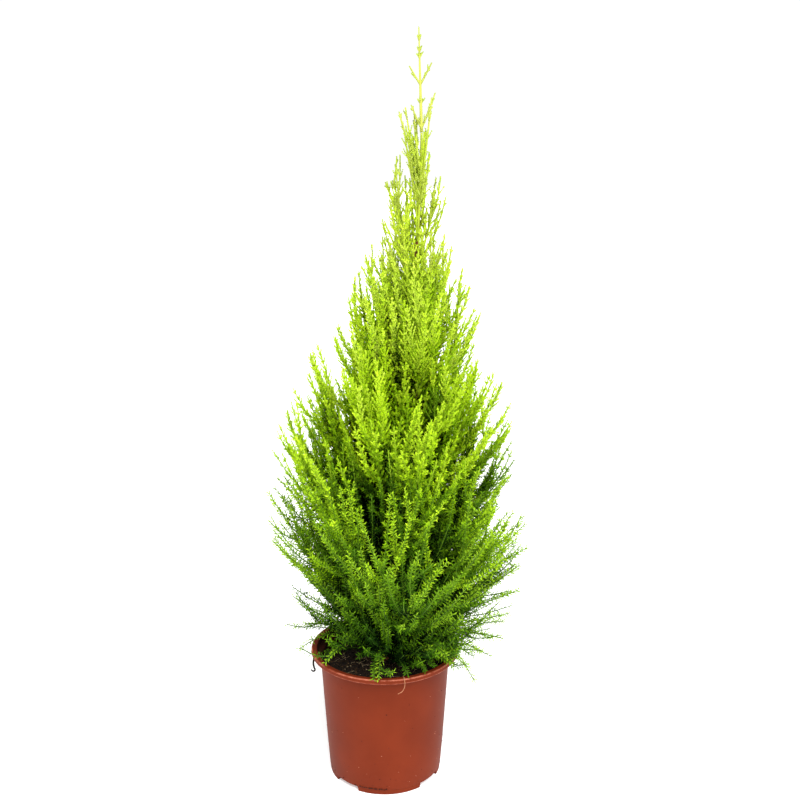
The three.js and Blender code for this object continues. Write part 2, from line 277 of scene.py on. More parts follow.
def tube_faces(rings, sides):
    """The triangles of a closed tube: its walls and a fan over each end."""
    fan = np.arange(1, sides - 1)
    low = np.stack([np.zeros_like(fan), fan + 1, fan], -1)
    return np.concatenate([halved(ring_walls(rings, sides)), low, low[:, [0, 2, 1]] + (rings - 1) * sides])


# Materials
SHADER = "Principled BSDF"
CLOUD_EDGES = (0.35, 0.68)


def linear(red, green, blue):
    """A colour of 0 to 255 a channel as the shader's linear values."""
    channels = [value / 255 for value in (red, green, blue)]
    return [c / 12.92 if c <= 0.04045 else ((c + 0.055) / 1.055) ** 2.4 for c in channels] + [1.0]


def tune(node, **values):
    """Sets a node's inputs. An underscore stands for a space in a name."""
    for name, value in values.items():
        node.inputs[name.replace("_", " ")].default_value = value


def new_material(name, colour, roughness, specular):
    material = bpy.data.materials.new(name)
    material.use_nodes = True
    shader = material.node_tree.nodes[SHADER]
    tune(shader, Base_Color=linear(*colour), Roughness=roughness, Specular_IOR_Level=specular)
    return material


def clouded(name, colours, roughness, specular, scales, detail=6):
    """A material whose colour wanders between two colours, with a noise of the given scale on each axis."""
    material = new_material(name, colours[0], roughness, specular)
    nodes, links = material.node_tree.nodes, material.node_tree.links
    place = nodes.new("ShaderNodeTexCoord")
    stretch = nodes.new("ShaderNodeMapping")
    tune(stretch, Scale=scales)
    cloud = nodes.new("ShaderNodeTexNoise")
    tune(cloud, Scale=1, Detail=detail)
    ramp = nodes.new("ShaderNodeValToRGB")
    for element, position, colour in zip(ramp.color_ramp.elements, CLOUD_EDGES, colours):
        element.position = position
        element.color = linear(*colour)
    links.new(place.outputs["Object"], stretch.inputs["Vector"])
    links.new(stretch.outputs["Vector"], cloud.inputs["Vector"])
    links.new(cloud.outputs["Fac"], ramp.inputs["Fac"])
    links.new(ramp.outputs["Color"], nodes[SHADER].inputs["Base Color"])
    return material


# Leaf colours with painted light and shade: a row for each part of the crown, darker low down and paler at
# the top, and in each row steps from painted shade deep inside to lit outermost tips
LEAF_COLOURS = {
    "low": ((8, 28, 2), (30, 62, 6), (74, 116, 14), (114, 156, 24), (148, 186, 40)),
    "green": ((20, 44, 2), (56, 94, 6), (104, 144, 12), (144, 184, 20), (172, 208, 38)),
    "mid": ((46, 74, 4), (98, 138, 10), (150, 190, 18), (186, 220, 28), (202, 232, 50)),
    "high": ((116, 146, 16), (164, 198, 28), (190, 218, 42), (202, 228, 58), (210, 234, 76)),
    "top": ((112, 128, 46), (152, 172, 58), (174, 194, 72), (188, 206, 86), (198, 212, 102)),
}
TONES = 5
ROW_HEIGHTS = (190, 275, 350, 480, 600)
LEAF_ROUGHNESS = 0.6
LEAF_SHEEN = 0.06

# Shoots
SHOOT_FACTS = ("root", "bend", "tip", "plume", "tone", "lot")


class Shoots:
    """Curved shoots as arrays: root, bend and tip, with each one's plume, tone and lot.

    The tone is painted shade and light: it runs from 0, darkest deep inside the crown, to 1, lightest at an
    outermost tip. The lot is dealt to each spire."""

    def __init__(self, root, bend, tip, plume, tone, lot):
        self.root, self.bend, self.tip = root, bend, tip
        self.plume, self.tone, self.lot = plume, tone, lot
        self.length = (2 * size(tip - root) + (size(bend - root) + size(tip - bend))) / 3

    def __len__(self):
        return len(self.root)

    def point(self, which, share):
        share = share[:, None]
        near = mix(self.root[which], self.bend[which], share)
        far = mix(self.bend[which], self.tip[which], share)
        return mix(near, far, share)

    def tangent(self, which, share):
        share = share[:, None]
        return unit(mix(self.bend[which] - self.root[which], self.tip[which] - self.bend[which], share))

    def picked(self, keep):
        return Shoots(*(getattr(self, key)[keep] for key in SHOOT_FACTS))


def unset(count):
    """For new shoots: a tone that is set later, and a lot."""
    return np.zeros(count), random.random(count)


def together(sets):
    return Shoots(*(np.concatenate([getattr(one, key) for one in sets]) for key in SHOOT_FACTS))


def square_to(tangents):
    """Two directions square to each tangent, the first one level."""
    level = np.cross(tangents, UP)
    level[size(level) < 1e-3] = (1, 0, 0)
    level = unit(level)
    return level, np.cross(level, tangents)


def spokes_round(tangents, sides):
    """Directions all round each tangent."""
    level, other = square_to(tangents)
    turn = turns(sides)[None, :, None]
    return level[:, None, :] * np.cos(turn) + other[:, None, :] * np.sin(turn)


def leaning(tangents, around, lift):
    level, other = square_to(tangents)
    along = tangents * np.cos(lift)[:, None]
    along += level * (np.cos(around) * np.sin(lift))[:, None]
    return along + other * (np.sin(around) * np.sin(lift))[:, None]


# Plumes: reach and lift are those of a plume's sprays
Plume = namedtuple("Plume", "tier name rank curve reach lift boughed", defaults=(False,))


def plume_curve(root_height, towards, reach, tip_height, out_share, rise):
    root = crown_centre(root_height)
    tip = crown_axis(tip_height) + reach * np.array([math.cos(towards), math.sin(towards), 0])
    bend = mix(root, tip, out_share)
    bend[2] = root_height + rise
    return root, bend, tip


def tier_of(share):
    return ("lower", "middle", "upper")[np.searchsorted(TIER_SHARES, share, "right")]


def main_plume(index, rank, reach_share):
    """A plume by the source's rule. A whole index is one of the source's, a broken one lies between two."""
    share = (index + 0.5) / MAIN_PLUMES
    tip_height = grade(TIP_HEIGHTS, 1 - (1 - share) ** TIP_POWER)
    reach = float(crown_radius(tip_height)) * spread(index, 1, *reach_share)
    slope = math.tan(math.radians(grade(STEEPNESS, share ** STEEPNESS_POWER)))
    rise = max(reach * slope, grade(SHORTEST_RISE, share))
    root_height = max(tip_height - rise, LOWEST_ROOT + index * ROOT_SPACING)
    towards = index * GOLDEN_ANGLE + spread(index, 2, -TURN_JITTER, TURN_JITTER)
    first_rise = (tip_height - root_height) * grade(BEND_UP, share)
    curve = plume_curve(root_height, towards, reach, tip_height, grade(BEND_OUT, share), first_rise)
    sprays = grade(SPRAY_REACH, share), grade(SPRAY_LIFT, share)
    if rank >= SOURCE_PLUMES:
        return Plume(tier_of(share), None, rank, curve, *sprays)
    name = f"{tier_of(share)}_{index + 1}"
    return Plume(tier_of(share), name, rank, curve, *sprays, index < BOUGHED_PLUMES)


def low_root(index):
    return SOIL_HEIGHT + SKIRT_ROOTS[index % len(SKIRT_ROOTS)]


def skirt_plume(index):
    towards, reach, tip_height = SKIRTS[index]
    rise = spread(index, 3, *SKIRT_RISE)
    curve = plume_curve(low_root(index), math.radians(towards), reach, tip_height, SKIRT_BEND, rise)
    return Plume("skirt", f"skirt_{index + 1}", index, curve, *SKIRT_SPRAYS)


def low_plume(index):
    """A fine plume of the crown's foot, which widens upwards from the soil like a funnel."""
    if index < LOW_PLUMES:
        share = (index + 0.5) / LOW_PLUMES
        tip_height = grade(LOW_TIP_HEIGHTS, share) + spread(index, 6, -LOW_JITTER, LOW_JITTER)
        towards = index * GOLDEN_ANGLE
        reach = grade(LOW_REACH, share)
    else:
        azimuth, reach, tip_height = FRONT_PLUMES[index - LOW_PLUMES]
        towards = math.radians(azimuth)
    rise = (tip_height - low_root(index)) * LOW_RISE
    curve = plume_curve(low_root(index), towards, reach, tip_height, LOW_BEND, rise)
    return Plume("skirt", None, SOURCE_PLUMES + MAIN_PLUMES + index, curve, *LOW_SPRAYS)


def leader_plume():
    foot = crown_centre(TRUNK_TIP_HEIGHT + SEAT)
    tip = crown_centre(TOTAL_HEIGHT)
    return Plume("upper", "leader", SOURCE_PLUMES - 1, (foot, mix(foot, tip, 0.5), tip), *LEADER_SPRAYS)


def all_plumes():
    """The low plumes, then the source's with finer ones between them from the bottom up, the leader last."""
    found = [main_plume(index, len(SKIRTS) + index, TIP_REACH) for index in range(MAIN_PLUMES)]
    found += [main_plume(step + 0.5, SOURCE_PLUMES + step, FINE_REACH) for step in range(FINE_PLUMES)]
    found.sort(key=lambda plume: plume.curve[2][2])
    low = [skirt_plume(index) for index in range(len(SKIRTS))]
    low += [low_plume(index) for index in range(LOW_PLUMES + len(FRONT_PLUMES))]
    return low + found + [leader_plume()]


plumes = all_plumes()
roots, bends, tips = (np.array([plume.curve[k] for plume in plumes]) for k in range(3))
axis_tones = np.full(len(plumes), AXIS_TONE)
axes = Shoots(roots, bends, tips, np.arange(len(plumes)), axis_tones, random.random(len(plumes)))

# How shoots grow: they keep a clearance, may hang a little below the rim outside it, and stay in the crown
CLEARANCE = 0.8
HANG = 4
INNER_MARGIN = 4
LOW_LIMIT = (170, 106)  # the height below which the crown's reach is one radius, and that radius
CROWN_SLACK = (1.04, 3)  # a factor, and millimetres more
TIP_SLACK = 4
BEND_PLACE = 0.35
SHRINKS = (1, 0.82, 0.67, 0.55, 0.45)
NARROWEST = 14
PAIR_PLACE = (0.25, 0.75)
PAIR_TWIST = 0.3


def aside_of(points, line):
    return np.hypot(points[:, 0] - line[:, 0], points[:, 1] - line[:, 1])


def clear(points):
    """Which points lie free of the pot, the soil and the trunk, and inside the crown's reach."""
    x, y, z = points.T
    from_axis = np.hypot(x, y)
    ground = np.where(from_axis < SHOULDER_RADIUS - INNER_MARGIN, SOIL_HEIGHT + 1, POT_HEIGHT)
    over_pot = z > np.where(from_axis > RIM_RADIUS + CLEARANCE, POT_HEIGHT - HANG, ground + CLEARANCE)
    off_trunk = aside_of(points, crown_centre(z)) > trunk_radius(z) + CLEARANCE
    off_trunk |= z > TRUNK_TIP_HEIGHT
    limit = np.where(z < LOW_LIMIT[0], LOW_LIMIT[1], crown_radius(z) * CROWN_SLACK[0] + CROWN_SLACK[1])
    inside = aside_of(points, crown_axis(z)) < limit
    return over_pot & off_trunk & inside & (z < TOTAL_HEIGHT + TIP_SLACK)


def numbered(counts):
    """For counts of children a parent: each child's parent, and its own number there."""
    which = np.repeat(np.arange(len(counts)), counts)
    starts = np.cumsum(counts) - counts
    return which, np.arange(counts.sum()) - starts[which]


def curved(root, along, turned, length):
    """Bend and tip of shoots that start along one direction and turn to another."""
    bend = root + along * length[:, None] * BEND_PLACE
    return bend, bend + turned * length[:, None] * (1 - BEND_PLACE)


def grow(root, along, turned, length, plume, tone, lot):
    """Shoots that start one way and turn another, each shortened until it lies free, or left out."""
    bend, tip = np.zeros_like(root), np.zeros_like(root)
    found = np.zeros(len(root), bool)
    for shrink in SHRINKS:
        new_bend, new_tip = curved(root, along, turned, length * shrink)
        good = ~found & clear(new_bend) & clear(new_tip)
        bend[good], tip[good] = new_bend[good], new_tip[good]
        found |= good
    return Shoots(root, bend, tip, plume, tone, lot).picked(found)


def in_pairs(parents, spacing, first, last):
    """Places along shoots for crossed pairs: parent, share of its length, way round, and which are level."""
    pairs = np.maximum(1, np.round(parents.length * (last - first) / spacing)).astype(int)
    which, twig = numbered(pairs * 2)
    pair = twig // 2
    share = mix(first, last, (pair + random.uniform(*PAIR_PLACE, len(which))) / pairs[which])
    around = (twig % 2) * math.pi + (pair % 2) * math.pi / 2 + random.normal(0, PAIR_TWIST, len(which))
    return which, share, around, pair % 2 == 0


def outerness(points):
    """How near the crown's outside a point lies: 0 on the crown's axis, 1 at the outline."""
    out = size(points - crown_axis(points[:, 2]))
    return out / np.maximum(crown_radius(points[:, 2]), NARROWEST)


# Spires: the source's sprays, in finer steps, each turning up into an upright shoot
PAIR_HEIGHTS = (230, 400, 480, 540)
STEM_LENGTH_PER_PAIR = (11, 26, 26, 19)
PAIR_COUNT = (3, 9)
SKIRT_PAIRS = 3
LOW_PAIRS = 5
FIRST_SPRAY = 0.05
LAST_SPRAY = 0.94
LIFT_JITTER = 8
LONGEST_SPRAY = 0.62
SPIRE_LENGTH = (1.6, 2.3)
SLIM_ABOVE = (562, 602)
FAN_HEIGHTS = (130, 180, 260, 340, 450, 600)
FAN_DEPTHS = (90, 200, 270, 280, 300, 260)
FAN_KEEP = (0.45, 0.3)
KEEP_SPAN = (150, 260)
FAN_JITTER = (0.22, 0.12)
JITTER_SPAN = (180, 320)


def by_length(which, share, start):
    """The curve's own parameter at a share of the length that is left after a start."""
    steps = np.linspace(0, 1, 61)
    points = axes.point(np.full(len(steps), which), steps)
    run = np.concatenate([[0], np.cumsum(size(np.diff(points, axis=0)))])
    run /= run[-1]
    return np.interp(mix(start, 1, share), run, steps)


def fanned(points, along):
    """The direction in which a shoot goes on: up and away from the trunk, as from a point far below."""
    z = points[:, 2]
    out = points - crown_centre(z)
    out[:, 2] = np.interp(z, FAN_HEIGHTS, FAN_DEPTHS)
    keep = grade(FAN_KEEP, smooth(*KEEP_SPAN, z))
    jitter = grade(FAN_JITTER, smooth(*JITTER_SPAN, z))
    return unit(along * keep[:, None] + unit(out) + random.normal(0, 1, out.shape) * jitter[:, None])


def pairs_on(plume, tip_height, length):
    """How many pairs of spires a plume bears."""
    if plume.tier == "skirt":
        return SKIRT_PAIRS if plume.name else LOW_PAIRS
    if tip_height > SLIM_ABOVE[0]:
        return 2 if tip_height < SLIM_ABOVE[1] else 1
    run = np.interp(tip_height, PAIR_HEIGHTS, STEM_LENGTH_PER_PAIR)
    return round(min(max(length / run, PAIR_COUNT[0]), PAIR_COUNT[1]))


def plume_spires(index):
    """One plume's sprays by the source's rule."""
    plume = plumes[index]
    start = BOUGH_SHARE if plume.boughed else 0
    length = axes.length[index] * (1 - start)
    pairs = pairs_on(plume, tips[index, 2], length)
    twigs = range(pairs * 2)
    rank = plume.rank
    share = np.array([(twig // 2 + chance(rank * 31 + twig, 4)) / pairs for twig in twigs])
    share = by_length(index, mix(FIRST_SPRAY, LAST_SPRAY, share), start)
    around = np.array([(twig % 2) * math.pi + (twig // 2) * GOLDEN_ANGLE + rank for twig in twigs])
    jitter = np.array([spread(rank * 31 + twig, 5, -LIFT_JITTER, LIFT_JITTER) for twig in twigs])
    stem = np.full(len(share), index)
    root = axes.point(stem, share)
    along = leaning(axes.tangent(stem, share), around, np.radians(plume.lift + jitter))
    reach = min(plume.reach, length * LONGEST_SPRAY) * (1.1 - share) ** 0.5
    turned = fanned(root + along * reach[:, None] * 0.5, along)
    length = reach * random.uniform(*SPIRE_LENGTH, len(stem))
    return grow(root, along, turned, length, stem, *unset(len(stem)))


def winding_up(count, heights):
    """Shares, heights and level directions for shoots that wind up the trunk."""
    share = (np.arange(count) + 0.5) / count
    return share, grade(heights, share), around_axis(1, np.arange(count) * GOLDEN_ANGLE, 0)


TRUNK_SPIRES = 270
TRUNK_SPIRE_HEIGHTS = (128, 470)
TRUNK_SPIRE_LENGTHS = (110, 52)
TRUNK_SPIRE_SIZES = (0.75, 1.1)
TRUNK_SPIRE_RISES = (0.5, 0.9)


def trunk_spires():
    """Shoots straight from the trunk, which fill the crown's middle."""
    share, height, out = winding_up(TRUNK_SPIRES, TRUNK_SPIRE_HEIGHTS)
    root = crown_centre(height) + out * (trunk_radius(height) - 0.2)[:, None]
    along = unit(out + UP * random.uniform(*TRUNK_SPIRE_RISES, TRUNK_SPIRES)[:, None])
    turned = unit(out * 0.25 + UP)
    length = grade(TRUNK_SPIRE_LENGTHS, share) * random.uniform(*TRUNK_SPIRE_SIZES, TRUNK_SPIRES)
    plume = np.abs(height[:, None] - roots[None, :, 2]).argmin(axis=1)
    return grow(root, along, turned, length, plume, *unset(TRUNK_SPIRES))


COLUMN_SPIRES = 26
COLUMN_HEIGHTS = (400, 578)
COLUMN_LENGTHS = (32, 48)


def column_spires():
    """Shoots pressed to the upper trunk, which clothe it."""
    _, height, out = winding_up(COLUMN_SPIRES, COLUMN_HEIGHTS)
    root = crown_centre(height) + out * (trunk_radius(height) + 0.4)[:, None]
    length = random.uniform(*COLUMN_LENGTHS, COLUMN_SPIRES)
    bend, tip = curved(root, unit(out * 0.35 + UP), unit(out * 0.06 + UP + (0.04, 0, 0)), length)
    plume = np.abs(height[:, None] - tips[None, :, 2]).argmin(axis=1)
    return Shoots(root, bend, tip, plume, *unset(COLUMN_SPIRES))


# Leader: opposite pairs of side shoots, given as share of the leader, the two lengths and the lift
LEADER_PAIRS = (
    (0.03, 34, 22, 31), (0.27, 4, 3, 30), (0.46, 20, 17, 33),
    (0.71, 4.5, 3, 28), (0.77, 5, 3.5, 26), (0.88, 4, 3, 20),
)


def leader_spires():
    stem = np.full(len(LEADER_PAIRS) * 2, len(axes) - 1)
    pair = np.arange(len(stem)) // 2
    share, right, left, lift = np.array(LEADER_PAIRS, float)[pair].T
    length = np.where(np.arange(len(stem)) % 2 == 0, right, left)
    around = (0.5 - np.arange(len(stem)) % 2) * math.pi + (pair % 3 - 1) * 0.3
    tangent = axes.tangent(stem, share)
    along = leaning(tangent, around, np.radians(lift))
    root = axes.point(stem, share)
    bend, tip = curved(root, along, unit(along + tangent * 0.15), length)
    return Shoots(root, bend, tip, stem, *unset(len(stem)))


# Low sprigs over the soil and the rim: root height on the trunk, bend and tip
LOW_SPRIGS = (
    (124, (-46, 3, 152), (-82, -2, 122)), (118, (-32, -4, 129), (-57, -6, 120)),
    (124, (-9, -44, 146), (-9, -70, 126.5)), (122, (0, -52, 138), (48, -48, 162)),
    (128, (66, -20, 152), (84, -27, 101)), (124, (62, -2, 142), (101, -6, 116)),
    (128, (58, 6, 150), (103, 4, 130)), (126, (-44, 14, 148), (-73, 26, 151)),
    (122, (-44, 6, 143), (-75, 10, 139)), (120, (14, -42, 136), (21, -66, 129)),
    (120, (30, -34, 138), (45, -52, 130)), (122, (38, -26, 140), (60, -37, 132)),
    (120, (40, -14, 138), (66, -23, 133)), (124, (22, -40, 146), (32, -58, 143)),
    (126, (34, -28, 150), (64, -45, 148)), (130, (30, -36, 156), (52, -62, 154)),
    (120, (-14, -22, 132), (-24, -40, 133)), (126, (8, -30, 150), (4, -50, 151)),
    (138, (66, -6, 158), (125, -8, 184)), (134, (62, 8, 154), (121, 8, 176)),
    (132, (58, -18, 152), (115, -24, 168)), (130, (60, -12, 150), (112, -14, 156)),
    (126, (50, -22, 148), (77, -35, 120)), (124, (56, -14, 146), (83, -20, 123)),
    (122, (42, -32, 142), (63, -52, 129)), (128, (60, -16, 152), (89, -24, 130)),
    (122, (26, -38, 140), (37, -60, 129)), (124, (48, -10, 144), (72, -12, 131)),
)

# Long spires that stand out at the crown's sides and front: root height on the trunk, bend and tip
LONG_SPIRES = (
    (400, (-4, -4, 448), (-16, -2, 495)), (350, (-32, -4, 412), (-25, -4, 476)),
    (360, (-10, -28, 417), (-15, -25, 460)), (335, (-42, 2, 392), (-43, 0, 421)),
    (310, (-64, -4, 376), (-65, -4, 407)), (250, (-86, -6, 312), (-87, -4, 355)),
    (165, (-80, -4, 220), (-106, -4, 278)), (140, (-74, -8, 190), (-102, -6, 235)),
    (290, (80, -4, 352), (83, -2, 396)), (270, (98, 2, 338), (106, 2, 380)),
    (200, (84, -6, 258), (113, -4, 293)), (165, (110, -4, 208), (127, -4, 255)),
    (140, (96, -6, 180), (126, -6, 208)), (260, (14, -82, 322), (32, -80, 385)),
    (255, (32, -86, 320), (40, -84, 365)), (290, (-2, -80, 346), (-4, -76, 405)),
    (225, (36, -92, 286), (60, -90, 313)),
)


def set_spires(table):
    height, bend, tip = (np.array([one[k] for one in table], float) for k in range(3))
    plume = size(tip[:, None] - tips[None]).argmin(axis=1)
    return Shoots(crown_centre(height), bend, tip, plume, *unset(len(height)))


spires = together(
    [plume_spires(index) for index in range(len(plumes) - 1)]
    + [trunk_spires(), column_spires(), leader_spires(), set_spires(LONG_SPIRES), set_spires(LOW_SPRIGS)])

# Tones of the spires, which are painted light and shade: darker inside the crown and low down, lighter at
# the outside, in the upper crown and at the low sides. A pair of tones is for spires high up and low down
# Painted shade deep inside the crown and painted light at its outside
INNER_TONES = (0.05, -0.16)
OUTER_GAINS = (0.62, 0.86)
TONE_SCATTER = (0.21, 0.12)  # below the top, and at it
TONE_HEIGHTS = (140, 210, 330, 470, 560)
# Painted shade low down and painted light in the upper crown, by height
HEIGHT_LIGHT_AND_SHADE = (-0.26, -0.1, 0.08, 0.3, -0.04)
SIDE_PLACES = (-90, -50, 40, 90)
# Painted light on the low sides of the crown, most on the right, where the key light falls
SIDE_PAINTED_LIGHT = (0.1, 0, 0, 0.24)
SET_TONE = 0.16
LEAST_OUTER = 0.9  # the high spires all count as outer
OUTER_SPAN = (0.3, 0.95)
LOW_SPIRES = (280, 380)
HIGH_SPIRES = (380, 500)
TOP_SPIRES = (470, 560)
SIDE_SPIRES = (230, 310)


def spire_tones(outer):
    x, _, z = spires.tip.T
    low = 1 - smooth(*LOW_SPIRES, z)
    tones = grade(INNER_TONES, low) + grade(OUTER_GAINS, low) * smooth(*OUTER_SPAN, outer)
    tones += random.normal(0, 1, len(spires)) * grade(TONE_SCATTER, smooth(*TOP_SPIRES, z))
    tones += np.interp(z, TONE_HEIGHTS, HEIGHT_LIGHT_AND_SHADE)
    tones += np.interp(x, SIDE_PLACES, SIDE_PAINTED_LIGHT) * (1 - smooth(*SIDE_SPIRES, z))
    tones[-len(LOW_SPRIGS) - len(LONG_SPIRES):] += SET_TONE
    return tones


spire_outer = outerness(mix(spires.bend, spires.tip, 0.6))
spire_outer = np.maximum(spire_outer, LEAST_OUTER * smooth(*HIGH_SPIRES, spires.tip[:, 2]))
spires.tone = spire_tones(spire_outer)
stems = together([axes, spires])
stem_outer = np.concatenate([np.ones(len(axes)), spire_outer])

# Side shoots: slim, leaning along their spire, shorter towards its tip, wider apart low down and at the top
SHOOT_SPACING = (3.9, 5.2)  # outside and inside
LOW_WIDENING = 4.4
TOP_WIDENING = 1.6
SHOOT_RUN = (0.12, 0.96)
SHOOT_LIFT = (33, 52)  # high up and low down
LIFT_SCATTER = 6
SHOOT_SHARE = 0.22
SHOOT_LEAST = 2.5
SHOOT_REACH = (3, 18)
SHOOT_SIZES = (0.7, 1.1)
LOW_SHORTENING = 0.55
TOP_LENGTHENING = 0.25
SHOOT_GRADIENT = 0.45
SHOOT_TONE_SCATTER = 0.05
LONGEST_STEM = 100
UPRIGHT_SHARE = 0.68
INNER_SPAN = (0.3, 0.7)
LOW_STEMS = (220, 420)
TOP_STEMS = (470, 600)


def side_shoots():
    inner = 1 - smooth(*INNER_SPAN, stem_outer)
    low = 1 - smooth(*LOW_STEMS, stems.tip[:, 2])
    high = smooth(*TOP_STEMS, stems.tip[:, 2])
    spacing = grade(SHOOT_SPACING, inner) * (1 + LOW_WIDENING * low ** 2 + TOP_WIDENING * high)
    places = in_pairs(stems, spacing, *SHOOT_RUN)
    late = (places[0] >= len(axes)) | (places[1] > 0.5) & (places[0] < len(axes) - 1)
    which, share, around, level = (place[late] for place in places)
    scatter = random.uniform(-LIFT_SCATTER, LIFT_SCATTER, len(which))
    tangent = stems.tangent(which, share)
    along = leaning(tangent, around, np.radians(grade(SHOOT_LIFT, low[which]) + scatter))
    turned = unit(along + tangent * 0.25 + UP * 0.1)
    whole = np.minimum(stems.length, LONGEST_STEM)[which]
    length = np.clip(SHOOT_SHARE * whole * (1.05 - share) ** 0.8 + SHOOT_LEAST, *SHOOT_REACH)
    change = 1 - LOW_SHORTENING * low[which] + TOP_LENGTHENING * high[which]
    length *= np.where(level, 1, UPRIGHT_SHARE) * change * random.uniform(*SHOOT_SIZES, len(which))
    tone = stems.tone[which] + SHOOT_GRADIENT * (share - 0.6) * (1 - 1.6 * high[which])
    tone += random.normal(0, SHOOT_TONE_SCATTER, len(which))
    root = stems.point(which, share)
    return grow(root, along, turned, length, stems.plume[which], tone, stems.lot[which])


shoots = side_shoots()

# Needles: folded kites in crossed pairs, spreading low in the crown and pressed to the shoot high up
NEEDLE_HEIGHTS = (140, 165, 220, 300, 380, 450, 560)
NEEDLE_GAPS = (2.0, 1.9, 1.8, 1.7, 1.5, 1.4, 1.35)
NEEDLE_LENGTHS = (5.0, 5.0, 4.9, 4.4, 3.2, 2.6, 2.2)
NEEDLE_WIDTHS = (0.8, 1.05, 1.2, 1.25, 1.35, 1.45, 1.55)
NEEDLE_ANGLES = (64, 62, 58, 49, 29, 17, 11)
KITE = np.array([(0, 1, 2), (0, 2, 3)])
# Each pair is for needles high up and low down
NEEDLE_WIDEST = (0.35, 0.55)
NEEDLE_FOLD = (0.3, 0.6)
TIP_CLOSING = (0.6, 0.14)
TIP_SHORTENING = (0.35, 0.08)
NEEDLE_ROLL = 0.6
NEEDLE_SEAT = (0.15, 0.5)  # how far out of the twig's middle it starts: below, and in the cords
SEAT_SPAN = (390, 520)
LOW_NEEDLES = (200, 340)
DEEP_SPAN = (0.25, 0.75)
DEEP_HEIGHTS = (400, 500)
CORDS = (360, 480)
CORD_ENDS = (0.5, 0.92)
CORD_SHADE = 0.42
NEEDLE_TWIST = 0.3
NEEDLE_SIZES = (0.8, 1.08)
NEEDLE_SCATTER = (0.85, 1.15)


def needle_coats(shoots, which, share, height, low, gradient):
    """The number of each needle's material: a row by height, and a step by its tone, both with painted light
    and shade.
    """
    corded = smooth(*CORDS, height)
    tone = shoots.tone[which] + gradient * (share - 0.5) * (1 - corded + 0.5 * low)
    tone -= CORD_SHADE * (smooth(*CORD_ENDS, share) - 0.32) * corded
    row = np.interp(height, ROW_HEIGHTS, range(len(ROW_HEIGHTS))) + shoots.lot[which]
    row = np.minimum(np.floor(row).astype(int), len(ROW_HEIGHTS) - 1)
    return row * TONES + np.clip(np.round(tone * (TONES - 1)).astype(int), 0, TONES - 1)


def needles_on(shoots, first, last, gradient):
    """Corners and triangles of all needles on a set of shoots, with each triangle's plume and material."""
    middle = shoots.point(np.arange(len(shoots)), np.full(len(shoots), 0.5))
    deep_of = (1 - smooth(*DEEP_SPAN, outerness(middle))) * (1 - smooth(*DEEP_HEIGHTS, middle[:, 2]))
    gap, length_of, width_of, angle_of = (
        np.interp(middle[:, 2], NEEDLE_HEIGHTS, values)
        for values in (NEEDLE_GAPS, NEEDLE_LENGTHS, NEEDLE_WIDTHS, NEEDLE_ANGLES))
    pairs = np.maximum(2, np.round(shoots.length * (last - first) / gap)).astype(int)
    which, needle = numbered(pairs * 2)
    count = len(which)
    pair = needle // 2
    height = middle[which, 2]
    low = 1 - smooth(*LOW_NEEDLES, height)
    place = pair + 0.5 + random.uniform(-0.3, 0.3, count) * (1 - 0.6 * low)
    share = mix(first, last, np.minimum(place / pairs[which], 1))
    around = (needle % 2) * math.pi + pair * math.pi / 2 + which * 1.7
    around += random.normal(0, NEEDLE_TWIST, count) * (1 - 0.5 * low)
    closing = 1 - grade(TIP_CLOSING, low) * share ** 2
    angle = (np.radians(angle_of[which]) * closing * random.uniform(*NEEDLE_SCATTER, count))[:, None]
    shortening = 1 - grade(TIP_SHORTENING, low) * share ** 2
    length = length_of[which] * shortening * random.uniform(*NEEDLE_SIZES, count)
    width = width_of[which] * random.uniform(*NEEDLE_SCATTER, count) * (1 + deep_of[which])
    tangent = shoots.tangent(which, share)
    level, other = square_to(tangent)
    outward = level * np.cos(around)[:, None] + other * np.sin(around)[:, None]
    along = tangent * np.cos(angle) + outward * np.sin(angle)
    inward = tangent * np.sin(angle) - outward * np.cos(angle)
    side = np.cross(tangent, outward)
    roll = random.normal(0, NEEDLE_ROLL, count)[:, None] * low[:, None]
    side, inward = side * np.cos(roll) + inward * np.sin(roll), inward * np.cos(roll) - side * np.sin(roll)
    root = shoots.point(which, share) + outward * grade(NEEDLE_SEAT, smooth(*SEAT_SPAN, height))[:, None]
    tip = root + along * length[:, None]
    widest = root + along * (length * grade(NEEDLE_WIDEST, low))[:, None]
    widest = widest + inward * (width * grade(NEEDLE_FOLD, low))[:, None]
    half = side * (width / 2)[:, None]
    corners = np.stack([root, widest + half, tip, widest - half], axis=1).reshape(-1, 3)
    coats = needle_coats(shoots, which, share, height, low, gradient)
    return corners, copies(KITE, count, 4), np.repeat(shoots.plume[which], 2), np.repeat(coats, 2)


# Twigs: tubes and points along the shoots
SPIKE = np.array([(0, 2, 1), (0, 1, 3), (1, 2, 3), (2, 0, 3)])


def tubes(shoots, sides, rings, thick, thin):
    """Closed tapering tubes along shoots: corners, triangles, and each triangle's plume and share."""
    count = len(shoots)
    which = np.repeat(np.arange(count), rings)
    thick, thin = (np.broadcast_to(value, count)[which] for value in (thick, thin))
    steps = np.linspace(0, 1, rings)
    share = np.tile(steps, count)
    spokes = spokes_round(shoots.tangent(which, share), sides)
    radius = mix(thick, thin, share)[:, None, None]
    corners = (shoots.point(which, share)[:, None, :] + spokes * radius).reshape(-1, 3)
    one = tube_faces(rings, sides)
    ends = np.repeat((0.0, 1.0), sides - 2)
    one_share = np.concatenate([np.repeat(steps[:-1], sides * 2), ends])
    triangles = copies(one, count, rings * sides)
    return corners, triangles, np.repeat(shoots.plume, len(one)), np.tile(one_share, count)


